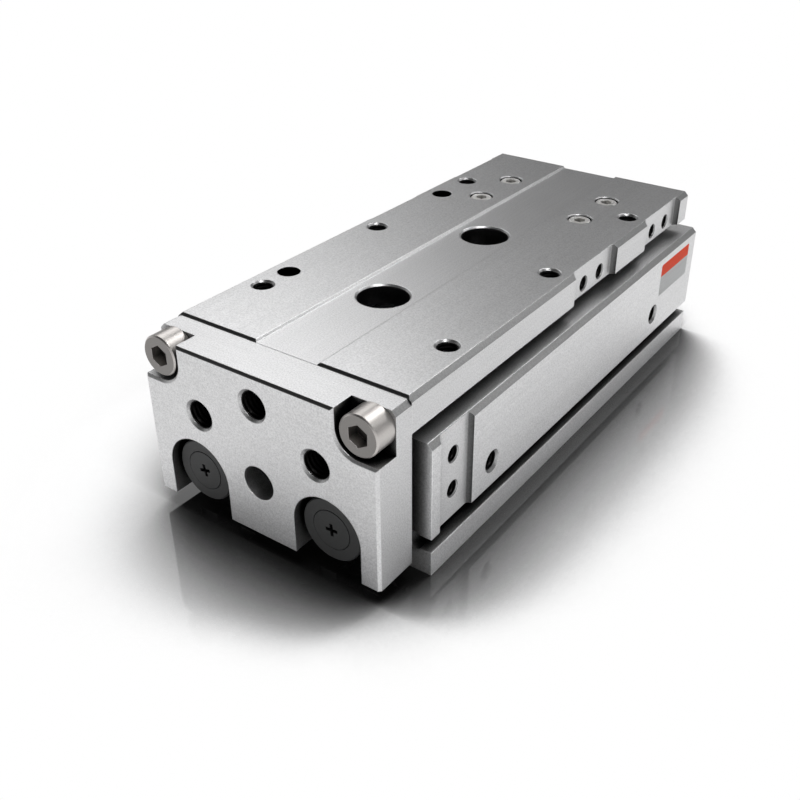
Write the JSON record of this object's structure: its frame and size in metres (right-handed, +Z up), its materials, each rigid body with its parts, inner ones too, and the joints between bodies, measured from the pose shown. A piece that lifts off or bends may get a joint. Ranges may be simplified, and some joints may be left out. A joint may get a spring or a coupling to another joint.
{
  "type": "pneumatic slide table",
  "caption": "Low air slide table: side-by-side cylinders push an end plate, whose table rides on a ball guide over the body.",
  "frame": {"origin": "on the base face, midway between the two mounting holes", "axes": "+Z up, +Y along the travel towards the rear, +X to the side with the open air ports; the table moves out along -Y"},
  "size_m": [0.062, 0.1383, 0.0405],
  "materials": {
    "anodised_aluminium": "satin anodised with a fine milled grain",
    "plate_aluminium": "satin anodised, fine blasted face",
    "turned_aluminium": "turned",
    "guide_steel": "ground stainless steel",
    "bolt_steel": "satin, slightly warm stainless steel",
    "screw_steel": "dull zinc plated steel",
    "disc_steel": "dull grey steel",
    "spring_steel": "phosphated",
    "ball_steel": "polished",
    "chromed_rod": "hard chromed and ground",
    "bush_bronze": "sintered bronze",
    "magnet": "sintered, matt",
    "wear_plastic": "matt resin",
    "dark_resin": "moulded resin",
    "dark_rubber": "smooth rubber",
    "damper_rubber": "polyurethane rubber"
  },
  "bodies": {
    "body": {"body": "anodised_aluminium", "guide_rail": "guide_steel", "rail_screws": "bolt_steel", "left_rod_cover": "turned_aluminium", "left_rod_bush": "bush_bronze", "left_rod_seal": "dark_rubber", "left_cover_oring": "dark_rubber", "left_front_ring": "spring_steel", "left_front_damper": "damper_rubber", "left_head_cap": "turned_aluminium", "left_cap_oring": "dark_rubber", "left_rear_ring": "spring_steel", "left_rear_damper": "damper_rubber", "right_rod_cover": "turned_aluminium", "right_rod_bush": "bush_bronze", "right_rod_seal": "dark_rubber", "right_cover_oring": "dark_rubber", "right_front_ring": "spring_steel", "right_front_damper": "damper_rubber", "right_head_cap": "turned_aluminium", "right_cap_oring": "dark_rubber", "right_rear_ring": "spring_steel", "right_rear_damper": "damper_rubber", "port_plugs": "bolt_steel", "gallery_balls": "ball_steel"},
    "table": {"table": "anodised_aluminium", "end_plate": "plate_aluminium", "end_plate_bolts": "bolt_steel", "guide_block": "guide_steel", "block_screws": "bolt_steel", "front_end_cap": "dark_resin", "rear_end_cap": "dark_resin", "front_scraper": "dark_rubber", "rear_scraper": "dark_rubber", "end_cap_screws": "bolt_steel", "left_ball_row": "ball_steel", "left_rod": "chromed_rod", "left_rod_collar": "bolt_steel", "left_rod_disc": "disc_steel", "left_rod_screw": "screw_steel", "left_piston": "turned_aluminium", "left_piston_seal": "dark_rubber", "left_piston_magnet": "magnet", "left_wear_ring": "wear_plastic", "right_ball_row": "ball_steel", "right_rod": "chromed_rod", "right_rod_collar": "bolt_steel", "right_rod_disc": "disc_steel", "right_rod_screw": "screw_steel", "right_piston": "turned_aluminium", "right_piston_seal": "dark_rubber", "right_piston_magnet": "magnet", "right_wear_ring": "wear_plastic"}
  },
  "joints": [
    {"name": "table_slide", "type": "slide", "parent": "body", "child": "table", "axis": [0, -1, 0], "range_m": [0, 0.075]}
  ]
}
